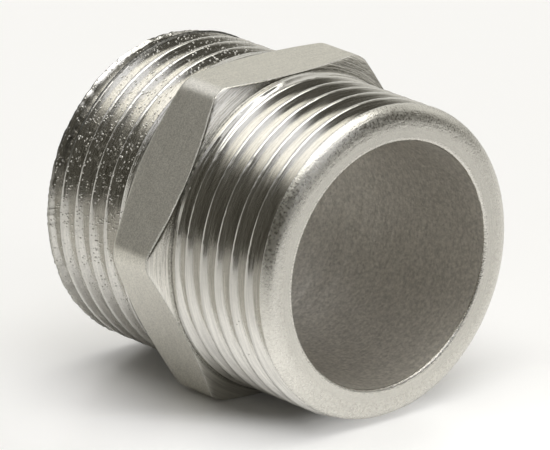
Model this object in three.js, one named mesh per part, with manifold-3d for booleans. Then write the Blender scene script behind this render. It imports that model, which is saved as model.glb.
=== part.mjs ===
// Hex nipple, G 1 male thread at both ends: one solid machined piece of plated brass.
// Millimetres, +Z up. The nipple's axis is X, two hexagon flats face up and down, and the
// origin is the centre of the overall box.
import * as THREE from 'three';
import * as BufferGeometryUtils from 'three/addons/utils/BufferGeometryUtils.js';
import Module from 'manifold-3d';

// Driving dimensions
const OVERALL_LENGTH = 35.3;
const FRONT_THREAD_LENGTH = 14.2;      // hexagon face to front end
const REAR_THREAD_LENGTH = 13.2;       // hexagon face to rear end
const ACROSS_FLATS = 33.7;             // fits a 34 mm spanner
const CORNER_DIAMETER = 38.1;          // the hexagon's corners are turned down to this
const FACE_DIAMETER = 32.4;            // flat ring inside the hexagon's chamfer
const CHAMFER_ANGLE = THREE.MathUtils.degToRad(25);
const BORE_DIAMETER = 26;
const BORE_EDGE_BREAK = 0.3;

// G 1 thread form (Whitworth, 55 degrees)
const MAJOR_DIAMETER = 33.249;
const PITCH = 2.309;
const THREAD_DEPTH = 1.479;
const FLANK_ANGLE = THREE.MathUtils.degToRad(27.5);
const CREST_LAND = PITCH / 6;
const FRONT_CREST_X = 4.127;           // first crest outside the front hexagon face, at +Y
const REAR_CREST_X = -6.242;           // first crest outside the rear hexagon face, at +Y

// Plain necks beside the hexagon and rounded noses at the ends
const NECK_DIAMETER = 33.5;
const NECK_LENGTH = 0.45;
const NOSE_LENGTH = 1.8;
const END_FACE_DIAMETER = 28.6;

// How finely curved surfaces are divided
const SEGMENTS_PER_TURN = 48;
const NOSE_STEPS = 6;

const MAJOR_RADIUS = MAJOR_DIAMETER / 2;
const ROOT_RADIUS = MAJOR_RADIUS - THREAD_DEPTH;
const HALF_LENGTH = OVERALL_LENGTH / 2;
const HEX_FRONT_X = HALF_LENGTH - FRONT_THREAD_LENGTH;
const HEX_REAR_X = REAR_THREAD_LENGTH - HALF_LENGTH;
const FULL_TURN = 2 * Math.PI;

const wasm = await Module();
wasm.setup();

// A closed three.js geometry as a solid
function toSolid(geometry) {
  const bare = geometry.clone();
  bare.deleteAttribute('normal');
  bare.deleteAttribute('uv');
  const merged = BufferGeometryUtils.mergeVertices(bare, 1e-5);
  return new wasm.Manifold(new wasm.Mesh({
    numProp: 3,
    vertProperties: new Float32Array(merged.attributes.position.array),
    triVerts: new Uint32Array(merged.index.array),
  }));
}

// A solid as a three.js geometry
function toGeometry(solid) {
  const mesh = solid.getMesh();
  const geometry = new THREE.BufferGeometry();
  geometry.setAttribute('position', new THREE.BufferAttribute(new Float32Array(mesh.vertProperties), 3));
  geometry.setIndex(new THREE.BufferAttribute(new Uint32Array(mesh.triVerts), 1));
  geometry.computeVertexNormals();
  return geometry;
}

// A solid of revolution about X, from [x, radius] points that start and end on the axis
function turned(profile) {
  const points = profile.map(([x, radius]) => new THREE.Vector2(radius, x));
  const geometry = new THREE.LatheGeometry(points, SEGMENTS_PER_TURN);
  geometry.rotateZ(-Math.PI / 2);
  return toSolid(geometry);
}

// The rounded nose of one end, as [x, radius] points from the end face back to the thread.
// It starts square to the end face and ends along the thread's cylinder.
function noseProfile(end) {
  const curve = new THREE.QuadraticBezierCurve(
    new THREE.Vector2(HALF_LENGTH, END_FACE_DIAMETER / 2),
    new THREE.Vector2(HALF_LENGTH, MAJOR_RADIUS),
    new THREE.Vector2(HALF_LENGTH - NOSE_LENGTH, MAJOR_RADIUS),
  );
  return curve.getPoints(NOSE_STEPS).map((point) => [end * point.x, point.y]);
}

// The round blank: both thread cylinders and their noses, solid through the middle
function roundBlank() {
  return turned([
    [-HALF_LENGTH, 0],
    ...noseProfile(-1),
    ...noseProfile(1).reverse(),
    [HALF_LENGTH, 0],
  ]);
}

// The plain necks that stop the threads, joined through the hexagon. Each one's end slopes
// down like a thread flank to the root of the last groove.
function necks() {
  const slope = (NECK_DIAMETER / 2 - ROOT_RADIUS) * Math.tan(FLANK_ANGLE);
  return turned([
    [HEX_REAR_X - NECK_LENGTH - slope, 0],
    [HEX_REAR_X - NECK_LENGTH - slope, ROOT_RADIUS],
    [HEX_REAR_X - NECK_LENGTH, NECK_DIAMETER / 2],
    [HEX_FRONT_X + NECK_LENGTH, NECK_DIAMETER / 2],
    [HEX_FRONT_X + NECK_LENGTH + slope, ROOT_RADIUS],
    [HEX_FRONT_X + NECK_LENGTH + slope, 0],
  ]);
}

// The hexagon: a six-sided prism inside a turned envelope that chamfers its corners
function hexagonCollar() {
  const outline = new THREE.Shape();
  const cornerRadius = ACROSS_FLATS / Math.sqrt(3);
  for (let corner = 0; corner < 6; corner += 1) {
    const angle = (corner * Math.PI) / 3;
    const y = cornerRadius * Math.cos(angle);
    const z = cornerRadius * Math.sin(angle);
    if (corner === 0) outline.moveTo(y, z);
    else outline.lineTo(y, z);
  }
  const prism = new THREE.ExtrudeGeometry(outline, { depth: HEX_FRONT_X - HEX_REAR_X, bevelEnabled: false });
  // Shape x, shape y and depth become Y, Z and X
  prism.rotateY(Math.PI / 2);
  prism.rotateX(Math.PI / 2);
  prism.translate(HEX_REAR_X, 0, 0);

  const chamferLength = ((CORNER_DIAMETER - FACE_DIAMETER) / 2) * Math.tan(CHAMFER_ANGLE);
  const envelope = turned([
    [HEX_REAR_X, 0],
    [HEX_REAR_X, FACE_DIAMETER / 2],
    [HEX_REAR_X + chamferLength, CORNER_DIAMETER / 2],
    [HEX_FRONT_X - chamferLength, CORNER_DIAMETER / 2],
    [HEX_FRONT_X, FACE_DIAMETER / 2],
    [HEX_FRONT_X, 0],
  ]);
  return toSolid(prism).intersect(envelope);
}

// The through bore with its edges broken
function boreCutter() {
  const radius = BORE_DIAMETER / 2;
  const overrun = 2;
  const flare = radius + BORE_EDGE_BREAK + overrun;
  return turned([
    [-HALF_LENGTH - overrun, 0],
    [-HALF_LENGTH - overrun, flare],
    [-HALF_LENGTH + BORE_EDGE_BREAK, radius],
    [HALF_LENGTH - BORE_EDGE_BREAK, radius],
    [HALF_LENGTH + overrun, flare],
    [HALF_LENGTH + overrun, 0],
  ]);
}

// One right-hand helical thread groove. groove centre x = centreX + PITCH * angle / FULL_TURN,
// from startAngle to endAngle. lift(angle) raises the groove's root, which makes the run-out.
function grooveCutter(centreX, startAngle, endAngle, lift) {
  const halfRoot = PITCH / 2 - CREST_LAND / 2 - THREAD_DEPTH * Math.tan(FLANK_ANGLE);
  const halfMouth = (PITCH - CREST_LAND) / 2;
  const clearHeight = THREAD_DEPTH + 2;
  const section = new THREE.Shape([
    new THREE.Vector2(-halfRoot, 0),
    new THREE.Vector2(halfRoot, 0),
    new THREE.Vector2(halfMouth, THREAD_DEPTH),
    new THREE.Vector2(halfMouth, clearHeight),
    new THREE.Vector2(-halfMouth, clearHeight),
    new THREE.Vector2(-halfMouth, THREAD_DEPTH),
  ]);
  const steps = Math.round(((endAngle - startAngle) / FULL_TURN) * SEGMENTS_PER_TURN);
  const bar = new THREE.ExtrudeGeometry(section, { depth: 1, steps, bevelEnabled: false });
  // The straight bar is bent: its width runs along X, its height outwards, its length round the axis
  const position = bar.attributes.position;
  for (let i = 0; i < position.count; i += 1) {
    const angle = startAngle + position.getZ(i) * (endAngle - startAngle);
    const radius = ROOT_RADIUS + lift(angle) + position.getY(i);
    const x = centreX + (PITCH * angle) / FULL_TURN + position.getX(i);
    position.setXYZ(i, x, radius * Math.cos(angle), radius * Math.sin(angle));
  }
  return toSolid(bar);
}

// Each groove starts gently behind the rounded nose and runs out beside the hexagon
function threadGrooves() {
  const startFade = FULL_TURN / 3;
  const runOutFade = FULL_TURN / 12;
  const outOfMetal = THREAD_DEPTH + 0.3;
  const startGap = 0.75;
  const runOutGap = 0.23;
  const stepAngle = FULL_TURN / SEGMENTS_PER_TURN;
  // The angle at which a groove's centre reaches x, on a whole step of the turned surfaces
  const angleAt = (x, centreX) => Math.round(((x - centreX) / PITCH) * SEGMENTS_PER_TURN) * stepAngle;
  // How far the root is raised: toStart and toRunOut are the angles left to the groove's two ends
  const lift = (toStart, toRunOut) => outOfMetal
    * Math.max(0, 1 - toStart / startFade, 1 - toRunOut / runOutFade);

  const frontCentre = FRONT_CREST_X - PITCH / 2;
  const frontStart = angleAt(HALF_LENGTH - startGap, frontCentre);
  const frontRunOut = angleAt(HEX_FRONT_X + runOutGap, frontCentre) - runOutFade;
  const front = grooveCutter(frontCentre, frontRunOut, frontStart,
    (angle) => lift(frontStart - angle, angle - frontRunOut));

  const rearCentre = REAR_CREST_X + PITCH / 2;
  const rearStart = angleAt(startGap - HALF_LENGTH, rearCentre);
  const rearRunOut = angleAt(HEX_REAR_X - runOutGap, rearCentre) + runOutFade;
  const rear = grooveCutter(rearCentre, rearStart, rearRunOut,
    (angle) => lift(angle - rearStart, rearRunOut - angle));
  return front.add(rear);
}

function nippleBody() {
  const threaded = roundBlank().subtract(threadGrooves());
  const solid = threaded.add(necks()).add(hexagonCollar()).subtract(boreCutter());
  const nickelPlate = new THREE.MeshStandardMaterial({ color: 0xb9b6a9, roughness: 0.32, metalness: 1 });
  const body = new THREE.Mesh(toGeometry(solid), nickelPlate);
  body.name = 'nipple_body';
  return body;
}

const hexNipple = new THREE.Group();
hexNipple.add(nippleBody());

export default hexNipple;
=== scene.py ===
"""A nickel-plated brass hex nipple, G 1 male thread at both ends, on a pale studio floor.

The nipple's axis is X. All sizes here are millimetres; objects are made in metres.
"""

import math

import bpy
import numpy as np
from mathutils import Matrix, Vector


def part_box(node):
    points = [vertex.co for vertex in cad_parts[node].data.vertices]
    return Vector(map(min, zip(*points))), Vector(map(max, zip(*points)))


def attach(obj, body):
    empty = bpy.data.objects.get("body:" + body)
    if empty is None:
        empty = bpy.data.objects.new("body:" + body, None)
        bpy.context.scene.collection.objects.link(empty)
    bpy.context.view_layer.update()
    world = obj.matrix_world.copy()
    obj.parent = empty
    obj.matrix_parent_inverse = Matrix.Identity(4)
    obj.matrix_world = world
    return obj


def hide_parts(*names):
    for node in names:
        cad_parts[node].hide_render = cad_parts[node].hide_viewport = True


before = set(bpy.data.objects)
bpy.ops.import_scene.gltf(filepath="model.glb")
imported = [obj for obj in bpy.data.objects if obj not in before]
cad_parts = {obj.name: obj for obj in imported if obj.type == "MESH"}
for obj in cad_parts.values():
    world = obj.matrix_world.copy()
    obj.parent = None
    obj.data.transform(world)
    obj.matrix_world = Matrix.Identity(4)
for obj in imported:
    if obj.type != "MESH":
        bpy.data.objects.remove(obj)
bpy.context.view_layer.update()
MM = 0.001
FULL_TURN = 2 * math.pi

# ---------------------------------------------------------------- sizes, in millimetres
_, high_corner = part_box("nipple_body")
HALF_LENGTH, CORNER_RADIUS, FLAT_RADIUS = np.array(high_corner) / MM
FRONT_THREAD_LENGTH = 14.2         # hexagon face to front end
REAR_THREAD_LENGTH = 13.2          # hexagon face to rear end
HEX_FRONT = HALF_LENGTH - FRONT_THREAD_LENGTH
HEX_REAR = REAR_THREAD_LENGTH - HALF_LENGTH
FACE_RADIUS = 16.2                 # where the hexagon's chamfer would meet its face
CHAMFER_SLOPE = math.tan(math.radians(25))
NECK_RADIUS = 16.75
NECK_LENGTH = 0.45
NOSE_LENGTH = 1.8
END_FACE_RADIUS = 14.3
BORE_RADIUS = 13.0
BORE_EDGE_BREAK = 0.3

# G 1 thread, in its rounded 55 degree form
MAJOR_RADIUS = 33.249 / 2
PITCH = 2.309
THREAD_DEPTH = 1.479
FLANK_ANGLE = math.radians(27.5)
CREST_RADIUS = 0.317               # of the rounded crests and roots
FRONT_CREST_X = 4.127              # first crest outside the front hexagon face, at +Y
REAR_CREST_X = -6.242              # first crest outside the rear hexagon face, at +Y

# A groove rises out of the metal over a short length near the hexagon and near the end
OUT_OF_METAL = THREAD_DEPTH + 0.3
RUN_OUT_START = 0.23               # from the hexagon's face to where the groove begins to rise
RUN_OUT_LENGTH = 0.19
FADE_START = 1.52                  # from the end face to where the groove begins to rise
FADE_LENGTH = 0.77

# Softness and wear
BLEND_WIDTH = 0.02                 # rounding where the thread meets the neck and the nose
GROOVE_EDGE_WIDTH = 0.04           # rounding where a rising groove meets the crest
CORNER_WIDTH = 0.2                 # rounding of the hexagon's turned-down corners
EDGE_WIDTH = 0.12                  # rounding between the chamfer and the flats
EDGE_SHARE = 0.35                  # at most this share of the chamfer is rounded
EDGE_RAGGED = (0.02, 0.2)          # least and most that the edge wanders on to a flat
NICK_DEPTH = 0.03
NICK_REACH = 0.15                  # nicks fade out this far below the crests
BURR_DEPTH = 0.15                  # of the notches round the rear end
BURR_START = 0.05                  # from the rear end face to where they begin
BURR_END = 2.3
REAR_NOSE_REACH = 3.2              # how far the unpolished plate goes from the rear end face


# ---------------------------------------------------------------- the nipple's surface
def nick_pattern(theta, x):
    """Smooth noise from about -1 to 1 on the turned surface, the same after a full turn."""
    waves = 24
    rng = np.random.default_rng(3)
    total = np.zeros(np.broadcast(theta, x).shape)
    for _ in range(waves):
        turns = rng.integers(50, 140)
        along = rng.uniform(-6, 6)
        phase = rng.uniform(0, FULL_TURN)
        total += np.sin(turns * theta + along * x + phase)
    return total / math.sqrt(waves)


def smooth_min(a, b, width):
    """The lower of a and b, rounded over about width."""
    return (a + b - np.sqrt((a - b) ** 2 + width ** 2)) / 2


def thread_depth(offset):
    """Depth below the major radius at an axial offset from a crest."""
    from_crest = np.abs((offset + PITCH / 2) % PITCH - PITCH / 2)
    from_root = PITCH / 2 - from_crest
    arc = CREST_RADIUS * math.cos(FLANK_ANGLE)
    crest = CREST_RADIUS - np.sqrt(np.maximum(CREST_RADIUS ** 2 - from_crest ** 2, 0))
    flank = CREST_RADIUS * (1 - math.sin(FLANK_ANGLE)) + (from_crest - arc) / math.tan(FLANK_ANGLE)
    root = THREAD_DEPTH - CREST_RADIUS + np.sqrt(np.maximum(CREST_RADIUS ** 2 - from_root ** 2, 0))
    return np.where(from_crest < arc, crest, np.where(from_root < arc, root, flank))


def nose_curve(share):
    """(x, radius) on the nose: share 0 square to the end face, 1 along the thread's cylinder."""
    x = HALF_LENGTH - NOSE_LENGTH * share ** 2
    radius = END_FACE_RADIUS + (MAJOR_RADIUS - END_FACE_RADIUS) * share * (2 - share)
    return x, radius


def nose_radius(x):
    """The nose's radius at a distance x from the middle of the nipple."""
    share = np.sqrt(np.clip((HALF_LENGTH - x) / NOSE_LENGTH, 0, 1))
    return nose_curve(share)[1]


def hex_face(end):
    """Where the hexagon ends. An end is 1 for the front, +X, and -1 for the rear."""
    return HEX_FRONT if end > 0 else HEX_REAR


def groove_depth(theta, x, end):
    """Depth of the threaded surface below the major radius, with small nicks along the crests.

    The groove starts gently behind the nose and runs out beside the hexagon.
    """
    crest_x = FRONT_CREST_X if end > 0 else REAR_CREST_X
    unrolled = x - crest_x - PITCH * theta / FULL_TURN
    groove_x = x - ((unrolled % PITCH) - PITCH / 2)
    from_hex = end * (groove_x - hex_face(end))
    from_end = HALF_LENGTH - end * groove_x
    run_out = (RUN_OUT_START - from_hex) / RUN_OUT_LENGTH
    fade = (FADE_START - from_end) / FADE_LENGTH
    lift = np.clip(np.maximum(run_out, fade), 0, 1.5) * OUT_OF_METAL
    depth = -smooth_min(lift - thread_depth(unrolled), 0, GROOVE_EDGE_WIDTH)
    nicks = NICK_DEPTH * np.clip(nick_pattern(theta, x), 0, 2)
    return depth + nicks * np.clip(1 - depth / NICK_REACH, 0, 1)


def thread_radius(theta, x, end):
    """Radius of the threaded cylinder, from the neck beside the hexagon to the nose at its end.

    The neck's end slopes down like a thread flank.
    """
    past_neck = end * (x - hex_face(end)) - NECK_LENGTH
    neck = NECK_RADIUS - np.maximum(past_neck, 0) / math.tan(FLANK_ANGLE)
    radius = -smooth_min(groove_depth(theta, x, end) - MAJOR_RADIUS, -neck, BLEND_WIDTH)
    return smooth_min(radius, nose_radius(end * x), BLEND_WIDTH)


def rear_burr(theta, x):
    """Small notches round the rear end, where the thread's start was left unpolished."""
    notches = np.random.default_rng(5).uniform(0, BURR_DEPTH, len(THETA))
    from_end = HALF_LENGTH + x
    rise = (from_end - BURR_START) / 0.3
    fall = (BURR_END - from_end) / 0.4
    weight = np.clip(np.minimum(rise, fall), 0, 1)
    return weight * notches[np.searchsorted(THETA, theta)]


def hexagon_radius(theta):
    """Distance from the axis to the hexagon's side, its corners turned down and softened."""
    sextant = FULL_TURN / 6
    from_flat = theta % sextant - sextant / 2
    return smooth_min(FLAT_RADIUS / np.cos(from_flat), CORNER_RADIUS, CORNER_WIDTH)


# ---------------------------------------------------------------- columns and rows of the mesh
def column_angles():
    """Angles round the axis, closer together beside the hexagon's six corners."""
    beside_corner = 4
    near_corner = np.linspace(-beside_corner, beside_corner, 10, endpoint=False)
    along_flat = np.linspace(beside_corner, 60 - beside_corner, 40, endpoint=False)
    one_side = np.concatenate([near_corner, along_flat])
    degrees = np.concatenate([one_side + 60 * side for side in range(6)])
    return np.radians(degrees)


def lattice_offsets():
    """Axial places of the rows within one pitch, from a crest to the next."""
    steepest = math.pi / 2 - FLANK_ANGLE
    arc = CREST_RADIUS * np.sin(np.linspace(-steepest, steepest, 9))
    middle_flank = PITCH / 4
    crest, next_crest = arc[4:], PITCH + arc[:4]
    root = arc + PITCH / 2
    return np.concatenate([crest, [middle_flank], root, [PITCH - middle_flank], next_crest])


THETA = column_angles()
OFFSETS = lattice_offsets()
ROWS_PER_PITCH = len(OFFSETS)
THREAD_END_X = nose_curve(0.5)[0]


def flat_ring(zone, x, radius):
    """A row round the nipple at one x and one radius."""
    return ("ring", zone, np.full(len(THETA), x), np.full(len(THETA), radius))


def end_rows(end):
    """Rows from the bore's edge over the end face and the steep part of the nose."""
    rows = []
    for share in np.linspace(0, 1, 5):
        turn = share * math.pi / 2
        x = HALF_LENGTH - BORE_EDGE_BREAK * (1 - math.sin(turn))
        rows.append(flat_ring("rim", end * x, BORE_RADIUS + BORE_EDGE_BREAK * (1 - math.cos(turn))))
    inner = BORE_RADIUS + BORE_EDGE_BREAK
    for share in (0.12, 0.35, 0.6, 0.82, 0.94):
        rows.append(flat_ring("face", end * HALF_LENGTH, inner + share * (END_FACE_RADIUS - inner)))
    for share in np.linspace(0, 0.48, 13):
        x, radius = nose_curve(share)
        rows.append(flat_ring("nose" if end > 0 else "rear nose", end * x, radius))
    return rows if end > 0 else rows[::-1]


def neck_rows(end):
    """Rows along a neck, towards the hexagon, and the step at its foot."""
    zone = "front neck" if end > 0 else "rear neck"
    rows = []
    for share in (0.97, 0.9, 0.6, 0.3):
        rows.append(flat_ring(zone, hex_face(end) + end * share * NECK_LENGTH, NECK_RADIUS))
    return rows + [flat_ring("step", hex_face(end), NECK_RADIUS)]


def chamfer_rows(end, side, ragged):
    """Rows up a chamfer of the hexagon and over its softened edge to the start of the flats."""
    foot_x = hex_face(end) - end * (NECK_RADIUS - FACE_RADIUS) * CHAMFER_SLOPE
    edge_x = hex_face(end) - end * (side - FACE_RADIUS) * CHAMFER_SLOPE
    run = np.hypot(side - NECK_RADIUS, edge_x - foot_x)
    soft = np.minimum(EDGE_WIDTH, EDGE_SHARE * run)
    rows = []
    for share in (0, 0.08, 0.25, 0.45, 0.65, 0.85):
        part = share * (1 - soft / run)
        radius = NECK_RADIUS + part * (side - NECK_RADIUS)
        rows.append(("ring", "cone", foot_x + part * (edge_x - foot_x), radius))
    before = (edge_x + soft / run * (foot_x - edge_x), side + soft / run * (NECK_RADIUS - side))
    after = (edge_x - end * (soft + ragged), side)
    middle = [(b + 2 * e + a) / 4 for b, e, a in zip(before, (edge_x, side), after)]
    return rows + [("ring", "cone", *before), ("ring", "edge", *middle), ("ring", "flat", *after)]


def hexagon_rows():
    """Rows over the hexagon: front neck, front chamfer, flats, rear chamfer, rear neck."""
    side = hexagon_radius(THETA)
    ragged = np.random.default_rng(11).uniform(*EDGE_RAGGED, len(THETA))
    ragged = 0.5 * ragged + 0.25 * (np.roll(ragged, 1) + np.roll(ragged, -1))
    front = neck_rows(1) + chamfer_rows(1, side, ragged)
    rear = neck_rows(-1) + chamfer_rows(-1, side, ragged)
    front_x, rear_x = front[-1][2], rear[-1][2]
    flats = []
    for share in (0.02, 0.07, 0.2, 0.35, 0.5, 0.65, 0.8, 0.93, 0.98):
        flats.append(("ring", "flat", front_x + share * (rear_x - front_x), side))
    return front + flats + rear[::-1]


def bore_rows():
    """Rows along the bore from the rear end to the front end."""
    reach = HALF_LENGTH - BORE_EDGE_BREAK
    return [flat_ring("bore", x, BORE_RADIUS) for x in np.linspace(-reach, reach, 18)[1:-1]]


def all_rows():
    """Every row, in order round the wall's section. A lattice row stands for a whole thread."""
    rows = end_rows(1)
    rows.append(("lattice", "front thread", HEX_FRONT + NECK_LENGTH, THREAD_END_X, FRONT_CREST_X, 1))
    rows += hexagon_rows()
    rows.append(("lattice", "rear thread", -THREAD_END_X, HEX_REAR - NECK_LENGTH, REAR_CREST_X, -1))
    rows += end_rows(-1)
    return rows + bore_rows()


def lattice_entries(row, theta):
    """One column's share of a thread. Its rows follow the helix, so they shift with the angle."""
    _, zone, x_low, x_high, crest_x, end = row
    turned_x = crest_x + PITCH * theta / FULL_TURN
    first = int((x_low - turned_x) // PITCH) * ROWS_PER_PITCH
    last = first + (int((x_high - x_low) // PITCH) + 3) * ROWS_PER_PITCH
    entries = []
    for m in range(last, first - 1, -1):
        x = turned_x + (m // ROWS_PER_PITCH) * PITCH + OFFSETS[m % ROWS_PER_PITCH]
        if x_low < x < x_high:
            entries.append(((end, m), zone, x, None))
    return entries


def build_columns(rows):
    """For each angle, the closed loop of (label, zone, x, radius) round the wall's section."""
    columns = []
    for i, theta in enumerate(THETA):
        column = []
        for k, row in enumerate(rows):
            if row[0] == "ring":
                column.append((("ring", k), row[1], row[2][i], row[3][i]))
            else:
                column += lattice_entries(row, theta)
        columns.append(column)
    return columns


def stitch(left, right, row_shift):
    """The faces between two neighbouring columns, each with the left vertex that it starts from.

    row_shift renumbers the right column's thread rows where the full turn closes.
    """
    place = {}
    for j, (label, _) in enumerate(right):
        place[label if label[0] == "ring" else (label[0], label[1] - row_shift)] = j
    a0, b0 = 0, 0
    for a in range(1, len(left) + 1):
        closing = a == len(left)
        b = len(right) if closing else place.get(left[a][0])
        if b is None:
            continue
        loop = [left[k % len(left)] for k in range(a0, a + 1)]
        loop += [right[k % len(right)] for k in range(b, b0 - 1, -1)]
        yield [vertex for _, vertex in loop], left[a0][1]
        a0, b0 = a, b


def shape_threads(theta, x, radius, zones):
    """Fills in the threads' radii, which are still missing, and marks what lies on the noses.

    A vertex is on a nose within reach of its end, and no more than margin below its surface.
    """
    noses = ((1, "nose", NOSE_LENGTH, 0.05), (-1, "rear nose", REAR_NOSE_REACH, 0.25))
    for end, zone, reach, margin in noses:
        mine = np.isnan(radius) & (np.sign(x) == end)
        radius[mine] = thread_radius(theta[mine], x[mine], end)
        on_nose = mine & (np.abs(x) > HALF_LENGTH - reach)
        on_nose &= radius > nose_radius(np.abs(x)) - margin
        zones[on_nose] = zone


def nipple_faces(columns, zones):
    """Every face of the nipple, and the zone of each one."""
    loops, start = [], 0
    for column in columns:
        loops.append([(entry[0], start + k) for k, entry in enumerate(column)])
        start += len(column)
    faces, face_zones = [], []
    for i, loop in enumerate(loops):
        wraps = i == len(loops) - 1
        for face, first in stitch(loop, loops[(i + 1) % len(loops)], ROWS_PER_PITCH if wraps else 0):
            faces.append(face)
            face_zones.append(zones[first])
    return faces, face_zones


def nipple_mesh():
    """The nipple's points in metres, its faces and the zone of each face."""
    columns = build_columns(all_rows())
    theta = np.concatenate([np.full(len(c), THETA[i]) for i, c in enumerate(columns)])
    x = np.array([entry[2] for c in columns for entry in c], float)
    zones = np.array([entry[1] for c in columns for entry in c])
    radius = np.array([entry[3] for c in columns for entry in c], float)
    shape_threads(theta, x, radius, zones)
    radius -= rear_burr(theta, x)
    points = np.stack([x, radius * np.cos(theta), radius * np.sin(theta)], axis=1) * MM
    return points, *nipple_faces(columns, zones)


# ---------------------------------------------------------------- shader helpers
NICKEL = (0.733, 0.714, 0.655)
THREAD_NICKEL = (0.731, 0.715, 0.667)
FLAT_NICKEL = (0.77, 0.746, 0.665)
PITTED_NICKEL = (0.71, 0.695, 0.64)
DARK_TOP_NICKEL = (0.26, 0.255, 0.235)
# torn plate darkened with painted shade, at the foot of the hexagon's chamfer
TORN_SHADED_NICKEL = (0.5, 0.485, 0.43)
# torn plate darkened with painted shade, on the step beside each neck
SHADED_STEP_NICKEL = (0.42, 0.405, 0.36)
BORE_NICKEL = (0.685, 0.655, 0.595)

# The spans of a noise's value over which a colour or a roughness changes
NARROW = (0.4, 0.6)
COLOUR_SPAN = (0.38, 0.62)
ROUGH_SPAN = (0.35, 0.65)
WIDE = (0.3, 0.7)


def node(tree, kind, *inputs, **settings):
    """Adds a node, links or sets its inputs in order, and gives back its first output."""
    made = tree.nodes.new("ShaderNode" + kind)
    for name, value in settings.items():
        setattr(made, name, value)
    for k, value in enumerate(inputs):
        if isinstance(value, bpy.types.NodeSocket):
            tree.links.new(value, made.inputs[k])
        elif value is not None:
            made.inputs[k].default_value = value
    return made.outputs[0]


def math_node(tree, operation, a, b=0.0, c=0.0):
    return node(tree, "Math", a, b, c, operation=operation)


def vector_value(tree, operation, a, b=None):
    """A vector calculation whose result is one number."""
    return node(tree, "VectorMath", a, b, operation=operation).node.outputs["Value"]


def soft_step(tree, value, low, high):
    """0 at low, 1 at high, smooth between. Low may be the larger one."""
    return node(tree, "MapRange", value, low, high, 0.0, 1.0, interpolation_type="SMOOTHSTEP")


def to_range(tree, value, low, high, out_low, out_high):
    """Value's range low to high stretched to out_low to out_high, held at the ends."""
    return node(tree, "MapRange", value, low, high, out_low, out_high)


def noise(tree, place, scale, detail, falloff):
    """Procedural noise from 0 to 1, mostly near 0.5. place is a vector and a fourth number."""
    vector, fourth = place
    return node(tree, "TexNoise", vector, fourth, scale, detail, falloff, noise_dimensions="4D")


def blend(tree, factor, colour_a, colour_b):
    return node(tree, "MixRGB", factor, (*colour_a, 1), (*colour_b, 1))


def shade(tree, factor, dark, light=NICKEL, span=COLOUR_SPAN):
    """The metal's colour: light scaled down to dark (a fraction) as factor falls over span."""
    tone = tuple(dark * part for part in light)
    return blend(tree, to_range(tree, factor, *span, 0.0, 1.0), tone, light)


def roughen(tree, factor, smooth, rough, span=ROUGH_SPAN):
    """A roughness that goes from smooth to rough as factor rises over span."""
    return to_range(tree, factor, *span, smooth, rough)


def bump(tree, height, depth, under=None):
    """Raises the surface by height (0 to 1) times depth millimetres, over an earlier bump."""
    made = tree.nodes.new("ShaderNodeBump")
    made.inputs["Distance"].default_value = depth * MM
    tree.links.new(height, made.inputs["Height"])
    if under is not None:
        tree.links.new(under, made.inputs["Normal"])
    return made.outputs[0]


class Surface:
    """The sockets that say where a point of the nipple's surface is, in millimetres."""

    def __init__(self, tree):
        self.tree = tree
        place = node(tree, "TexCoord").node.outputs["Object"]
        self.position = node(tree, "VectorMath", place, (1 / MM,) * 3, operation="MULTIPLY")
        apart = node(tree, "SeparateXYZ", self.position).node.outputs
        self.x, self.y, self.z = apart["X"], apart["Y"], apart["Z"]
        outward = node(tree, "VectorMath", self.position, (0, 1, 1), operation="MULTIPLY")
        self.radius = vector_value(tree, "LENGTH", outward)
        self.angle = math_node(tree, "ARCTAN2", self.z, self.y)

    def scaled(self, socket, factor):
        return math_node(self.tree, "MULTIPLY", socket, factor)

    def circled(self, angle, radius):
        """The two sockets of a point that goes round a circle with angle, so noise has no seam."""
        first = self.scaled(math_node(self.tree, "COSINE", angle), radius)
        return first, self.scaled(math_node(self.tree, "SINE", angle), radius)

    def grain(self, shift=0.0):
        """Place for noise that is the same in every direction. A shift gives another noise."""
        return self.position, math_node(self.tree, "ADD", self.scaled(self.x, 0.3), shift)

    def along_thread(self, across=5.5, along=4.0):
        """Place for streaks that follow the thread's helix."""
        unrolled = self.scaled(self.x, FULL_TURN / PITCH)
        first, second = self.circled(math_node(self.tree, "SUBTRACT", unrolled, self.angle), across)
        third, fourth = self.circled(self.angle, along)
        fourth = math_node(self.tree, "ADD", fourth, self.scaled(self.x, 0.5))
        return node(self.tree, "CombineXYZ", first, second, third), fourth

    def turned(self, fine, along):
        """Place for lathe marks: fine across the mark, long round the axis."""
        third, fourth = self.circled(self.angle, along)
        first, second = self.scaled(self.x, fine), self.scaled(self.radius, fine)
        return node(self.tree, "CombineXYZ", first, second, third), fourth

    def brushed(self, fine=9.0, along=0.5):
        """Place for straight marks that run round the hexagon, across its axis."""
        stretch = (fine, along, along)
        return node(self.tree, "VectorMath", self.position, stretch, operation="MULTIPLY"), 0.0


# ---------------------------------------------------------------- materials
def pimples(tree, surface, size, share):
    """Small round grains of plate, size millimetres apart. More share gives more patches of them."""
    spot = node(tree, "TexVoronoi", surface.position, None, 1 / size)
    spot = to_range(tree, spot, 0.04, 0.36, 1.0, 0.0)
    patch = noise(tree, surface.grain(70.0), 1.3, 3.0, 0.6)
    patch = to_range(tree, patch, 0.62 - share, 0.68 - share, 0.0, 1.0)
    return math_node(tree, "MULTIPLY", spot, patch)


def weighted(tree, a, share, b):
    """Share of a and the rest of b."""
    return math_node(tree, "MULTIPLY_ADD", a, share, math_node(tree, "MULTIPLY", b, 1 - share))


def paint_thread(tree, surface, grain, share):
    """Bright plate with tool streaks along the helix, fine grain and scattered pimples."""
    streak = noise(tree, surface.along_thread(), 1.0, 3.0, 0.65)
    fine = noise(tree, surface.grain(), 6.0, 2.0, 0.6)
    colour = shade(tree, weighted(tree, fine, grain, streak), 0.74, THREAD_NICKEL)
    roughness = roughen(tree, streak, 0.13, 0.24, WIDE)
    normal = bump(tree, streak, 0.01)
    return colour, roughness, bump(tree, pimples(tree, surface, 0.31, share), 0.042, normal)


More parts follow.
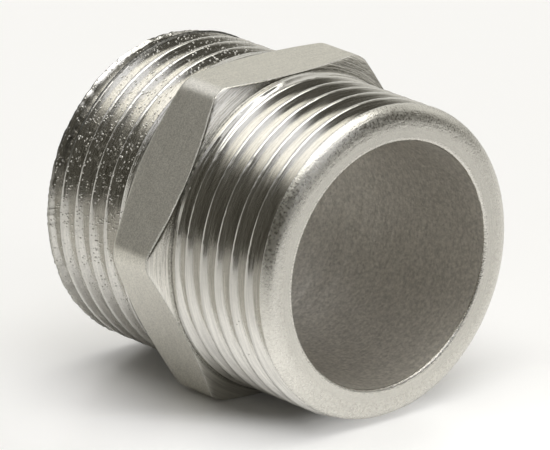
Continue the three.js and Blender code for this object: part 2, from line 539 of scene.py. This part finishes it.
def paint_front_thread(tree, surface):
    return paint_thread(tree, surface, grain=0.2, share=-0.05)


def paint_rear_thread(tree, surface):
    return paint_thread(tree, surface, grain=0.5, share=0.15)


def paint_worn(tree, surface):
    """Plate on the front nose: knocked and torn on top, smooth below."""
    streak = noise(tree, surface.turned(9.0, 6.0), 1.0, 3.0, 0.6)
    torn = noise(tree, surface.turned(5.0, 14.0), 1.0, 3.0, 0.6)
    fine = noise(tree, surface.grain(10.0), 4.0, 3.0, 0.6)
    top = to_range(tree, surface.z, 5.0, 12.5, 0.15, 1.0)
    torn = math_node(tree, "MULTIPLY", torn, top)
    normal = bump(tree, streak, 0.012)
    normal = bump(tree, torn, 0.05, normal)
    return shade(tree, fine, 0.8), roughen(tree, fine, 0.22, 0.38), bump(tree, fine, 0.03, normal)


def paint_rear_nose(tree, surface):
    """Unpolished, pitted plate on the rounded rear end, its colour darker towards the top."""
    fine = noise(tree, surface.grain(25.0), 4.0, 3.0, 0.7)
    pitted = shade(tree, fine, 0.6, PITTED_NICKEL)
    darker_top = shade(tree, fine, 0.3, DARK_TOP_NICKEL, NARROW)
    top = to_range(tree, surface.z, 1.0, 8.0, 0.0, 1.0)
    colour = node(tree, "MixRGB", top, pitted, darker_top)
    return colour, roughen(tree, fine, 0.25, 0.42), bump(tree, fine, 0.07)


def paint_rim(tree, surface):
    """Bright broken edge of the bore, nicked so that it sparkles."""
    fine = noise(tree, surface.grain(15.0), 5.0, 3.0, 0.6)
    return shade(tree, fine, 0.85), roughen(tree, fine, 0.1, 0.2), bump(tree, fine, 0.09)


def paint_shaded_step(tree, surface):
    """Torn bottom of the step between each neck and the hexagon's chamfer, coloured dark with painted
    shade.
    """
    fine = noise(tree, surface.grain(40.0), 3.0, 3.0, 0.65)
    return shade(tree, fine, 0.3, SHADED_STEP_NICKEL), roughen(tree, fine, 0.3, 0.5), bump(tree, fine, 0.05)


def paint_edge(tree, surface):
    """Torn, sparkling metal along the hexagon's edges."""
    fine = noise(tree, surface.grain(15.0), 6.5, 3.0, 0.65)
    return shade(tree, fine, 0.75), roughen(tree, fine, 0.22, 0.42), bump(tree, fine, 0.2)


def paint_face(tree, surface):
    """Satin turned face: concentric marks and fine grain."""
    streak = noise(tree, surface.turned(14.0, 5.0), 1.0, 3.0, 0.6)
    fine = noise(tree, surface.grain(20.0), 6.0, 2.0, 0.6)
    colour = shade(tree, weighted(tree, fine, 0.5, streak), 0.8)
    normal = bump(tree, streak, 0.01)
    return colour, roughen(tree, fine, 0.26, 0.38, WIDE), bump(tree, fine, 0.02, normal)


def paint_flat(tree, surface):
    """Matte hexagon flats: grain with faint brushed lines."""
    line = noise(tree, surface.brushed(), 1.0, 2.0, 0.6)
    fine = noise(tree, surface.grain(30.0), 7.0, 3.0, 0.65)
    colour = shade(tree, weighted(tree, fine, 0.78, line), 0.68, FLAT_NICKEL, NARROW)
    normal = bump(tree, line, 0.008)
    return colour, roughen(tree, fine, 0.35, 0.43, WIDE), bump(tree, fine, 0.03, normal)


def paint_cone(tree, surface):
    """The hexagon's turned chamfer: lathe marks round the axis, torn at its foot, and darker there with
    painted shade next to the neck.
    """
    streak = noise(tree, surface.turned(7.0, 4.0), 1.0, 3.0, 0.6)
    fine = noise(tree, surface.grain(50.0), 7.0, 3.0, 0.65)
    turned = shade(tree, streak, 0.7, span=ROUGH_SPAN)
    torn = shade(tree, fine, 0.5, TORN_SHADED_NICKEL)
    # painted shade: next to the neck, the chamfer's foot takes the darker torn colour
    shaded_foot = to_range(tree, surface.radius, 16.9, 17.1, 1.0, 0.0)
    colour = node(tree, "MixRGB", shaded_foot, turned, torn)
    normal = bump(tree, streak, 0.06)
    return colour, roughen(tree, fine, 0.1, 0.2, WIDE), bump(tree, fine, 0.008, normal)


def paint_bore(tree, surface):
    """Dull, grainy inside where little plate has settled."""
    streak = noise(tree, surface.turned(3.0, 2.0), 1.0, 3.0, 0.55)
    fine = noise(tree, surface.grain(60.0), 2.6, 4.0, 0.75)
    return shade(tree, fine, 0.68, BORE_NICKEL), roughen(tree, streak, 0.58, 0.7), bump(tree, fine, 0.09)


ZONE_PAINT = (
    ("front_thread_nickel", paint_front_thread, ("front thread", "front neck")),
    ("rear_thread_nickel", paint_rear_thread, ("rear thread", "rear neck")),
    ("worn_nickel", paint_worn, ("nose",)),
    ("rear_nose_nickel", paint_rear_nose, ("rear nose",)),
    ("rim_nickel", paint_rim, ("rim",)),
    ("edge_nickel", paint_edge, ("edge",)),
    ("shaded_step_nickel", paint_shaded_step, ("step",)),
    ("face_nickel", paint_face, ("face",)),
    ("flat_nickel", paint_flat, ("flat",)),
    ("cone_nickel", paint_cone, ("cone",)),
    ("bore_nickel", paint_bore, ("bore",)),
)
# The specular tint of a metal that is duller than polished metal when seen at a flat angle
GRAZING = {"rear_nose_nickel": 0.15}


def metal(name, paint):
    """A metallic material. paint(tree, surface) gives its colour, roughness and normal sockets."""
    material = bpy.data.materials.new(name)
    material.use_nodes = True
    tree = material.node_tree
    shader = tree.nodes["Principled BSDF"]
    shader.inputs["Metallic"].default_value = 1
    grazing = GRAZING.get(name, 1.0)
    shader.inputs["Specular Tint"].default_value = (grazing, grazing, grazing, 1)
    colour, roughness, normal = paint(tree, Surface(tree))
    tree.links.new(colour, shader.inputs["Base Color"])
    tree.links.new(roughness, shader.inputs["Roughness"])
    tree.links.new(normal, shader.inputs["Normal"])
    return material


# ---------------------------------------------------------------- the piece
def make_nipple():
    """The whole nipple as one closed mesh, with a material for each zone."""
    points, faces, face_zones = nipple_mesh()
    mesh = bpy.data.meshes.new("nipple")
    mesh.from_pydata(points.tolist(), [], faces)
    mesh.polygons.foreach_set("use_smooth", [True] * len(faces))
    slot_of_zone = {}
    for slot, (name, paint, zones) in enumerate(ZONE_PAINT):
        mesh.materials.append(metal(name, paint))
        slot_of_zone.update({zone: slot for zone in zones})
    mesh.polygons.foreach_set("material_index", [slot_of_zone[zone] for zone in face_zones])
    mesh.validate()
    mesh.update()
    piece = bpy.data.objects.new("nipple", mesh)
    bpy.context.scene.collection.objects.link(piece)
    return piece


nipple = make_nipple()
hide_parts("nipple_body")
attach(nipple, "root")

# ---------------------------------------------------------------- camera
CAMERA_AZIMUTH = 48.75             # degrees
CAMERA_ELEVATION = 18.82
CAMERA_ROLL = math.radians(0.66)
CAMERA_DISTANCE = 869.3
CAMERA_DROP = 0.275                # how far the nipple's centre is above the picture's
FOCAL_LENGTH = 555.6               # on a sensor 36 mm wide


def direction(azimuth, elevation):
    """The unit vector at an azimuth, from -Y towards +X, and an elevation, both in degrees."""
    a, e = math.radians(azimuth), math.radians(elevation)
    return Vector((math.sin(a) * math.cos(e), -math.cos(a) * math.cos(e), math.sin(e)))


def make_camera():
    """A long lens, so the two ends of the nipple look almost the same size."""
    back = direction(CAMERA_AZIMUTH, CAMERA_ELEVATION)
    level = Vector((0, 0, 1)).cross(back).normalized()
    upright = back.cross(level)
    right = math.cos(CAMERA_ROLL) * level + math.sin(CAMERA_ROLL) * upright
    up = math.cos(CAMERA_ROLL) * upright - math.sin(CAMERA_ROLL) * level
    data = bpy.data.cameras.new("camera")
    data.lens = FOCAL_LENGTH
    data.sensor_width = 36
    data.clip_start = 10 * MM
    data.clip_end = 10000 * MM
    camera = bpy.data.objects.new("camera", data)
    place = Matrix.Translation((back * CAMERA_DISTANCE - up * CAMERA_DROP) * MM)
    camera.matrix_world = place @ Matrix((right, up, back)).transposed().to_4x4()
    bpy.context.scene.collection.objects.link(camera)
    bpy.context.scene.camera = camera


# ---------------------------------------------------------------- floor
FLOOR_REACH = 1500                 # how far it goes to the back and to both sides
FRONT_EDGE_X = 110                 # its front edge, where y is below STEP_Y
STEP_EDGE_X = 220                  # and where y is above it
STEP_Y = -20
GLOW_MIDDLE = (22, -6)             # a faint glow in front of the nipple lights it from below
GLOW_RADII = (40, 8)               # no glow outside the first, full glow inside the second
GLOW_SLANT = (1, -1.2, 0)          # it shows only past SLANT_EDGE along this vector
SLANT_EDGE = (16, 27)
GLOW_EDGE_X = (9, 17)              # or past this x
GLOW_STRENGTH = 0.32
GLOW_FLOOR = 0.01                  # the emission everywhere else


def floor_glow(tree):
    """Emission strength of the floor: a soft patch, cut off behind and under the nipple."""
    place = node(tree, "TexCoord").node.outputs["Object"]
    place = node(tree, "VectorMath", place, (1 / MM,) * 3, operation="MULTIPLY")
    away = vector_value(tree, "DISTANCE", place, (*GLOW_MIDDLE, -FLAT_RADIUS))
    slanted = vector_value(tree, "DOT_PRODUCT", place, GLOW_SLANT)
    forward = node(tree, "SeparateXYZ", place).node.outputs["X"]
    beside = soft_step(tree, slanted, *SLANT_EDGE)
    ahead = soft_step(tree, forward, *GLOW_EDGE_X)
    patch = soft_step(tree, away, *GLOW_RADII)
    glow = math_node(tree, "MULTIPLY", patch, math_node(tree, "MAXIMUM", beside, ahead))
    return math_node(tree, "MULTIPLY_ADD", glow, GLOW_STRENGTH, GLOW_FLOOR)


def floor_acrylic():
    """Pale, slightly glossy sheet."""
    material = bpy.data.materials.new("floor_acrylic")
    material.use_nodes = True
    tree = material.node_tree
    shader = tree.nodes["Principled BSDF"]
    shader.inputs["Base Color"].default_value = (0.91, 0.905, 0.895, 1)
    shader.inputs["Roughness"].default_value = 0.3
    tree.links.new(floor_glow(tree), shader.inputs["Emission Strength"])
    return material


def make_floor():
    """A flat sheet under the nipple's lower flat."""
    outline = (
        (-FLOOR_REACH, -FLOOR_REACH),
        (FRONT_EDGE_X, -FLOOR_REACH),
        (FRONT_EDGE_X, STEP_Y),
        (STEP_EDGE_X, STEP_Y),
        (STEP_EDGE_X, FLOOR_REACH),
        (-FLOOR_REACH, FLOOR_REACH),
    )
    corners = [(x * MM, y * MM, -FLAT_RADIUS * MM) for x, y in outline]
    mesh = bpy.data.meshes.new("floor")
    mesh.from_pydata(corners, [], [range(len(corners))])
    mesh.materials.append(floor_acrylic())
    floor = bpy.data.objects.new("floor", mesh)
    bpy.context.scene.collection.objects.link(floor)


# ---------------------------------------------------------------- light
# The windows of a light tent, each one its middle azimuth, half width, lowest and highest
# elevation, softness (all in degrees), brightness and whether its light is cool. Azimuth is
# measured from -Y towards +X.
TENT_WINDOWS = (
    ("overhead", 0, 180, 57, 100, 6, 2.6, False),
    ("right window", 100, 11, 8.5, 80, 2.5, 1.15, True),
    ("right corner", 75, 25, 45, 80, 8, 1.3, True),
    ("left window", 271, 27, 22, 80, 3, 0.8, True),
    ("left corner", 300, 20, 42, 80, 8, 1.4, True),
    ("back wall", 200, 47, 4, 42, 10, 0.86, False),
    ("left wall", 285, 38, -22, 11, 5, 0.75, False),
)
TENT_DARK = 0.075
DIM_TINT = (1.06, 1.0, 0.82)
BRIGHT_TINT = (1.01, 1.0, 0.955)
COOL_TINT = (1.0, 1.0, 1.03)


def tent_window(tree, look, middle, half, low, high, soft, strength):
    """One window's brightness in the direction look."""
    edge = math.radians(soft)
    half, low, high = math.radians(half), math.radians(low), math.radians(high)
    elevation = math_node(tree, "ARCSINE", node(tree, "SeparateXYZ", look).node.outputs["Z"])
    ahead = vector_value(tree, "DOT_PRODUCT", look, direction(middle, 0))
    aside = vector_value(tree, "DOT_PRODUCT", look, direction(middle + 90, 0))
    turn = math_node(tree, "ABSOLUTE", math_node(tree, "ARCTAN2", aside, ahead))
    inside = soft_step(tree, turn, half + edge, half - edge)
    above = soft_step(tree, elevation, low - edge, low + edge)
    below = soft_step(tree, elevation, high + edge, high - edge)
    inside = math_node(tree, "MULTIPLY", math_node(tree, "MULTIPLY", inside, above), below)
    return math_node(tree, "MULTIPLY", inside, strength)


def make_world():
    """The light tent: dark between its windows, warm in the dim parts, cool in some windows."""
    world = bpy.data.worlds.new("studio")
    world.use_nodes = True
    tree = world.node_tree
    tree.nodes.clear()
    look = node(tree, "TexCoord").node.outputs["Generated"]
    total, cool = TENT_DARK, 0.0
    for _, *numbers, is_cool in TENT_WINDOWS:
        light = tent_window(tree, look, *numbers)
        total = math_node(tree, "MAXIMUM", total, light)
        if is_cool:
            cool = math_node(tree, "MAXIMUM", cool, light)
    warm = blend(tree, to_range(tree, total, 0.1, 0.5, 0.0, 1.0), DIM_TINT, BRIGHT_TINT)
    tint = node(tree, "MixRGB", to_range(tree, cool, 0.1, 0.8, 0.0, 1.0), warm, (*COOL_TINT, 1))
    output = tree.nodes.new("ShaderNodeOutputWorld")
    tree.links.new(node(tree, "Background", tint, total), output.inputs["Surface"])
    bpy.context.scene.world = world
    bpy.context.scene.view_settings.view_transform = "Standard"


make_camera()
make_floor()
make_world()
